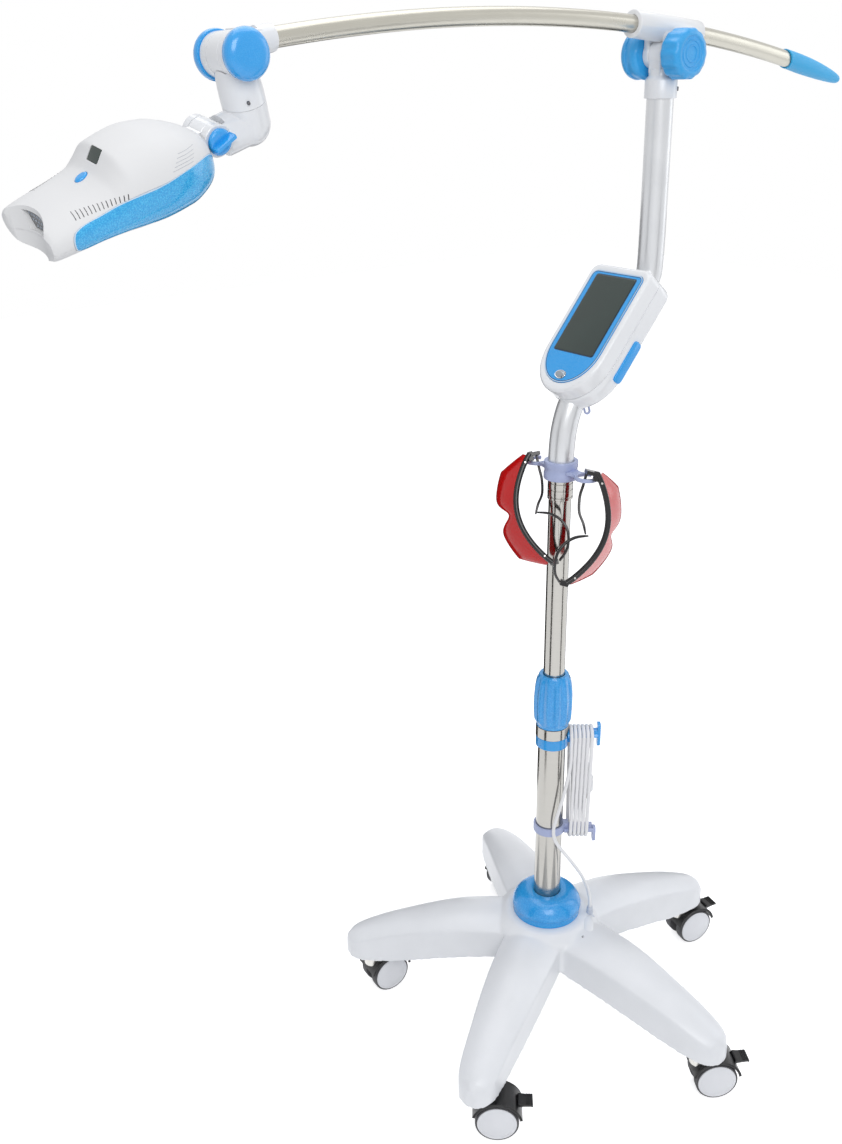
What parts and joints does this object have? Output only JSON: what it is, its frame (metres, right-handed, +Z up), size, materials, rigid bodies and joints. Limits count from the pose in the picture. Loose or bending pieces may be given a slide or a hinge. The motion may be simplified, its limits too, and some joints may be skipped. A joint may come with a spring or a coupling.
{
  "type": "teeth whitening lamp",
  "caption": "Floor-standing teeth whitening lamp: caster base, telescoping column, curved balanced arm, tilting light head, control box and goggles hung on the column.",
  "frame": {"origin": "On the floor, under the middle of the bounding box of all pieces but the hank, the stretch and the plug of the mains cord.", "axes": "+Z is up along the column. The arm lies in a plane of constant Y, with the lamp head towards -X and the hand grip towards +X."},
  "size_m": [1.124, 0.5804, 1.3702],
  "materials": {
    "base_paint": "smooth white enamel",
    "black_plastic": "black moulded plastic",
    "caster_wheel": "dark soft tread with a white cap",
    "blue_plastic": "sky blue moulded plastic",
    "polished_steel": "polished stainless tube",
    "lavender_plastic": "grey lavender moulded plastic",
    "white_cord": "smooth white jacket",
    "grey_plastic": "light grey moulded plastic",
    "white_plastic": "white moulded plastic",
    "pearl_paint": "satin pearl white paint",
    "red_lens": "red tinted moulding",
    "circuit_board": "green board",
    "screen_glass": "dark display window"
  },
  "bodies": {
    "base": {"star_base": "base_paint", "hub_dome": "blue_plastic", "lower_tube": "polished_steel", "guide_bush": "polished_steel", "cord_hook_upper": "blue_plastic", "cord_hook_lower": "lavender_plastic", "cord_inlet": "grey_plastic", "cord_hank": "white_cord", "cord_stretch": "white_cord", "cord_plug": "white_plastic"},
    "caster_1_hood_body": {"caster_1_hood": "black_plastic"},
    "caster_1_wheel_body": {"caster_1_wheels": "caster_wheel"},
    "caster_1_brake_body": {"caster_1_brake": "black_plastic"},
    "caster_2_hood_body": {"caster_2_hood": "black_plastic"},
    "caster_2_wheel_body": {"caster_2_wheels": "caster_wheel"},
    "caster_2_brake_body": {"caster_2_brake": "black_plastic"},
    "caster_3_hood_body": {"caster_3_hood": "black_plastic"},
    "caster_3_wheel_body": {"caster_3_wheels": "caster_wheel"},
    "caster_3_brake_body": {"caster_3_brake": "black_plastic"},
    "caster_4_hood_body": {"caster_4_hood": "black_plastic"},
    "caster_4_wheel_body": {"caster_4_wheels": "caster_wheel"},
    "caster_4_brake_body": {"caster_4_brake": "black_plastic"},
    "caster_5_hood_body": {"caster_5_hood": "black_plastic"},
    "caster_5_wheel_body": {"caster_5_wheels": "caster_wheel"},
    "caster_5_brake_body": {"caster_5_brake": "black_plastic"},
    "twist_collar_body": {"twist_collar": "blue_plastic"},
    "mast": {"inner_tube": "polished_steel", "mast_tube": "pearl_paint", "goggle_holder": "lavender_plastic", "box_front_shell": "white_plastic", "box_rear_shell": "white_plastic", "box_face_panel": "blue_plastic", "box_main_board": "circuit_board"},
    "box_button_body": {"box_button": "white_plastic"},
    "box_latch_body": {"box_slide_latch": "blue_plastic"},
    "goggles_left_body": {"goggles_left_front": "red_lens"},
    "goggles_left_upper_body": {"goggles_left_upper_temple": "black_plastic"},
    "goggles_left_lower_body": {"goggles_left_lower_temple": "black_plastic"},
    "goggles_right_body": {"goggles_right_front": "red_lens"},
    "goggles_right_upper_body": {"goggles_right_upper_temple": "black_plastic"},
    "goggles_right_lower_body": {"goggles_right_lower_temple": "black_plastic"},
    "tee": {"tee_body": "pearl_paint"},
    "arm": {"arm_clamp": "pearl_paint", "arm_tube": "polished_steel", "arm_grip": "blue_plastic", "wrist_socket": "pearl_paint"},
    "tee_front_knob_body": {"tee_knob_front": "blue_plastic"},
    "tee_back_knob_body": {"tee_knob_back": "blue_plastic"},
    "wrist": {"wrist_neck": "pearl_paint", "wrist_cap_back": "blue_plastic"},
    "wrist_knob_body": {"wrist_knob_front": "blue_plastic"},
    "elbow_body": {"elbow": "pearl_paint"},
    "wing_knob_body": {"wing_knob": "blue_plastic"},
    "head": {"head_upper_shell": "white_plastic", "head_lower_shell": "white_plastic", "head_panel_near": "blue_plastic", "head_panel_far": "blue_plastic", "head_screen": "screen_glass", "light_module": "screen_glass"},
    "head_button_body": {"head_button": "blue_plastic"}
  },
  "joints": [
    {"name": "caster_1_swivel", "type": "hinge", "parent": "base", "child": "caster_1_hood_body", "pos_m": [0.33597, -0.0182, -0.00075], "axis": [0, 0, 1], "continuous": true},
    {"name": "caster_1_roll", "type": "hinge", "parent": "caster_1_hood_body", "child": "caster_1_wheel_body", "pos_m": [0.35749, -0.02277, 0.02925], "axis": [-0.2079, -0.9781, 0], "continuous": true},
    {"name": "caster_1_brake_press", "type": "hinge", "parent": "caster_1_hood_body", "child": "caster_1_brake_body", "pos_m": [0.38651, -0.02894, 0.05081], "axis": [-0.2079, -0.9781, 0], "range_deg": [-15, 0]},
    {"name": "caster_2_swivel", "type": "hinge", "parent": "base", "child": "caster_2_hood_body", "pos_m": [0.18844, 0.25351, -0.00075], "axis": [0, 0, 1], "continuous": true},
    {"name": "caster_2_roll", "type": "hinge", "parent": "caster_2_hood_body", "child": "caster_2_wheel_body", "pos_m": [0.21011, 0.25733, 0.02925], "axis": [0.1736, -0.9848, 0], "continuous": true},
    {"name": "caster_2_brake_press", "type": "hinge", "parent": "caster_2_hood_body", "child": "caster_2_brake_body", "pos_m": [0.23933, 0.26248, 0.05081], "axis": [0.1736, -0.9848, 0], "range_deg": [-15, 0]},
    {"name": "caster_3_swivel", "type": "hinge", "parent": "base", "child": "caster_3_hood_body", "pos_m": [-0.11556, 0.19717, -0.00075], "axis": [0, 0, 1], "continuous": true},
    {"name": "caster_3_roll", "type": "hinge", "parent": "caster_3_hood_body", "child": "caster_3_wheel_body", "pos_m": [-0.09364, 0.19525, 0.02925], "axis": [-0.0872, -0.9962, 0], "continuous": true},
    {"name": "caster_3_brake_press", "type": "hinge", "parent": "caster_3_hood_body", "child": "caster_3_brake_body", "pos_m": [-0.06408, 0.19267, 0.05081], "axis": [-0.0872, -0.9962, 0], "range_deg": [-15, 0]},
    {"name": "caster_4_swivel", "type": "hinge", "parent": "base", "child": "caster_4_hood_body", "pos_m": [-0.15591, -0.10936, -0.00075], "axis": [0, 0, 1], "continuous": true},
    {"name": "caster_4_roll", "type": "hinge", "parent": "caster_4_hood_body", "child": "caster_4_wheel_body", "pos_m": [-0.13906, -0.1235, 0.02925], "axis": [-0.6428, -0.766, 0], "continuous": true},
    {"name": "caster_4_brake_press", "type": "hinge", "parent": "caster_4_hood_body", "child": "caster_4_brake_body", "pos_m": [-0.11633, -0.14258, 0.05081], "axis": [-0.6428, -0.766, 0], "range_deg": [-15, 0]},
    {"name": "caster_5_swivel", "type": "hinge", "parent": "base", "child": "caster_5_hood_body", "pos_m": [0.12315, -0.24247, -0.00075], "axis": [0, 0, 1], "continuous": true},
    {"name": "caster_5_roll", "type": "hinge", "parent": "caster_5_hood_body", "child": "caster_5_wheel_body", "pos_m": [0.1418, -0.25412, 0.02925], "axis": [-0.5299, -0.848, 0], "continuous": true},
    {"name": "caster_5_brake_press", "type": "hinge", "parent": "caster_5_hood_body", "child": "caster_5_brake_body", "pos_m": [0.16697, -0.26985, 0.05081], "axis": [-0.5299, -0.848, 0], "range_deg": [-15, 0]},
    {"name": "collar_twist", "type": "hinge", "parent": "base", "child": "twist_collar_body", "pos_m": [0.07522, 0.01613, 0.56125], "axis": [0, 0, 1], "range_deg": [0, 60]},
    {"name": "column_slide", "type": "slide", "parent": "base", "child": "mast", "axis": [0, 0, 1], "range_m": [-0.15, 0.08]},
    {"name": "box_button_press", "type": "slide", "parent": "mast", "child": "box_button_body", "axis": [0.762, 0, -0.6476], "range_m": [0, 0.0012], "stiffness_N_per_m": 600, "springref_m": -0.001},
    {"name": "box_latch_slide", "type": "slide", "parent": "mast", "child": "box_latch_body", "axis": [0.6476, 0, 0.762], "range_m": [0, 0.065]},
    {"name": "goggles_left_lift", "type": "slide", "parent": "mast", "child": "goggles_left_body", "axis": [0.0766, 0.4179, 0.9053], "range_m": [0, 0.014]},
    {"name": "goggles_left_upper_fold", "type": "hinge", "parent": "goggles_left_body", "child": "goggles_left_upper_body", "pos_m": [0.07378, 0.05923, 0.85503], "axis": [-0.5543, -0.7369, 0.387], "range_deg": [-4, 2]},
    {"name": "goggles_left_lower_fold", "type": "hinge", "parent": "goggles_left_body", "child": "goggles_left_lower_body", "pos_m": [0.0535, -0.01064, 0.74076], "axis": [-0.5543, -0.7369, 0.387], "range_deg": [-10, 4]},
    {"name": "goggles_right_lift", "type": "slide", "parent": "mast", "child": "goggles_right_body", "axis": [0.316, -0.0124, 0.9487], "range_m": [0, 0.014]},
    {"name": "goggles_right_upper_fold", "type": "hinge", "parent": "goggles_right_body", "child": "goggles_right_upper_body", "pos_m": [0.07417, -0.03003, 0.85545], "axis": [-0.5906, -0.7852, 0.1864], "range_deg": [-4, 2]},
    {"name": "goggles_right_lower_fold", "type": "hinge", "parent": "goggles_right_body", "child": "goggles_right_lower_body", "pos_m": [0.02061, -0.0427, 0.73167], "axis": [-0.5906, -0.7852, 0.1864], "range_deg": [-10, 4]},
    {"name": "arm_swing", "type": "hinge", "parent": "mast", "child": "tee", "pos_m": [0.21662, 0.01613, 1.29325], "axis": [0, 0, 1], "range_deg": [-170, 170]},
    {"name": "arm_tilt", "type": "hinge", "parent": "tee", "child": "arm", "pos_m": [0.21662, 0.01613, 1.32326], "axis": [0, -1, 0], "range_deg": [-20, 25]},
    {"name": "tee_front_knob_turn", "type": "hinge", "parent": "arm", "child": "tee_front_knob_body", "pos_m": [0.21662, 0.01613, 1.32326], "axis": [0, -1, 0], "range_deg": [-90, 90]},
    {"name": "tee_back_knob_turn", "type": "hinge", "parent": "arm", "child": "tee_back_knob_body", "pos_m": [0.21662, 0.01613, 1.32326], "axis": [0, -1, 0], "range_deg": [-90, 90]},
    {"name": "wrist_tilt", "type": "hinge", "parent": "arm", "child": "wrist", "pos_m": [-0.34878, 0.01613, 1.32625], "axis": [0, -1, 0], "range_deg": [-12, 25]},
    {"name": "wrist_knob_turn", "type": "hinge", "parent": "wrist", "child": "wrist_knob_body", "pos_m": [-0.34878, 0.01613, 1.32625], "axis": [0, -1, 0], "range_deg": [-90, 90]},
    {"name": "elbow_turn", "type": "hinge", "parent": "wrist", "child": "elbow_body", "pos_m": [-0.33985, 0.01536, 1.2861], "axis": [-0.3095, -0.2501, 0.9174], "range_deg": [-60, 60]},
    {"name": "wing_knob_turn", "type": "hinge", "parent": "elbow_body", "child": "wing_knob_body", "pos_m": [-0.37918, 0.01743, 1.25945], "axis": [0.1041, -0.9679, -0.2287], "range_deg": [-80, 80]},
    {"name": "head_tilt", "type": "hinge", "parent": "elbow_body", "child": "head", "pos_m": [-0.37918, 0.01743, 1.25945], "axis": [0.1041, -0.9679, -0.2287], "range_deg": [-18, 12]},
    {"name": "head_button_press", "type": "slide", "parent": "head", "child": "head_button_body", "axis": [0.3095, 0.2501, -0.9174], "range_m": [0, 0.001], "stiffness_N_per_m": 500, "springref_m": -0.001}
  ]
}
